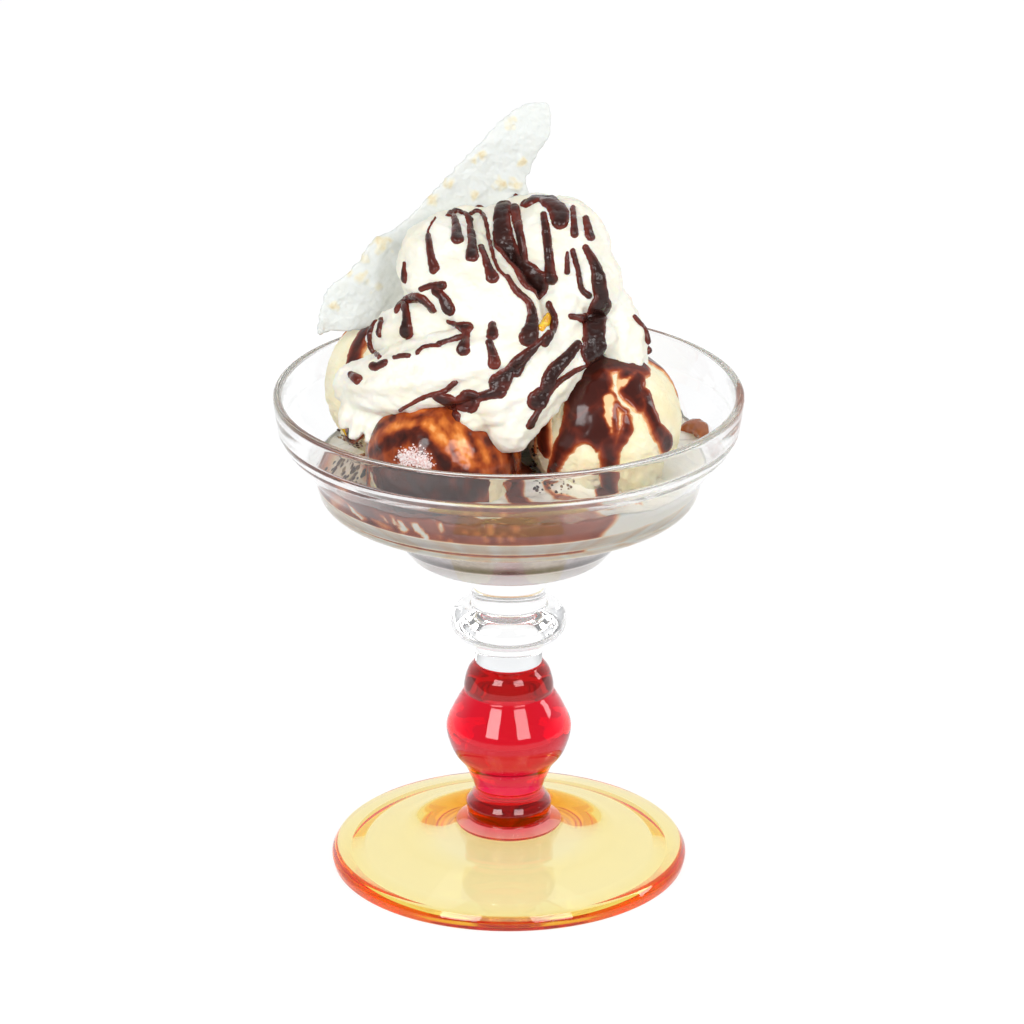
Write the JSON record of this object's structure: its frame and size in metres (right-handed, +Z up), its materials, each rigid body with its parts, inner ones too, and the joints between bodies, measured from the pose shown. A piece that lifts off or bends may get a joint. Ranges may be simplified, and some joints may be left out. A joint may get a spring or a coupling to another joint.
{
  "type": "vanilla ice cream sundae",
  "caption": "Vanilla ice cream sundae in a footed stepped glass with a red stem and amber foot, topped with whipped cream, chocolate drizzle and a white wafer.",
  "frame": {"origin": "on the surface the foot stands on, on the axis of the glass", "axes": "+Z up along the axis of the glass, -Y towards the front, +X to the right"},
  "size_m": [0.13, 0.13, 0.22],
  "materials": {
    "clear_glass": "clear polished pressed glass",
    "ruby_glass": "clear ruby glass, polished",
    "amber_glass": "clear amber glass, polished",
    "vanilla_ice_cream": "soft frozen vanilla ice cream, glazed with sauce in places",
    "chocolate_sauce": "wet glossy chocolate sauce",
    "whipped_cream": "soft whipped cream with a satin sheen",
    "white_wafer": "crisp white wafer with pale nut flecks"
  },
  "bodies": {
    "root": {"glass_bowl": "clear_glass", "glass_stem": "ruby_glass", "glass_foot": "amber_glass", "scoop_right": "vanilla_ice_cream", "scoop_front_left": "vanilla_ice_cream", "scoop_back_left": "vanilla_ice_cream", "scoop_back_right": "vanilla_ice_cream", "sauce_pool": "chocolate_sauce", "whipped_cream": "whipped_cream", "wafer": "white_wafer"}
  },
  "joints": []
}
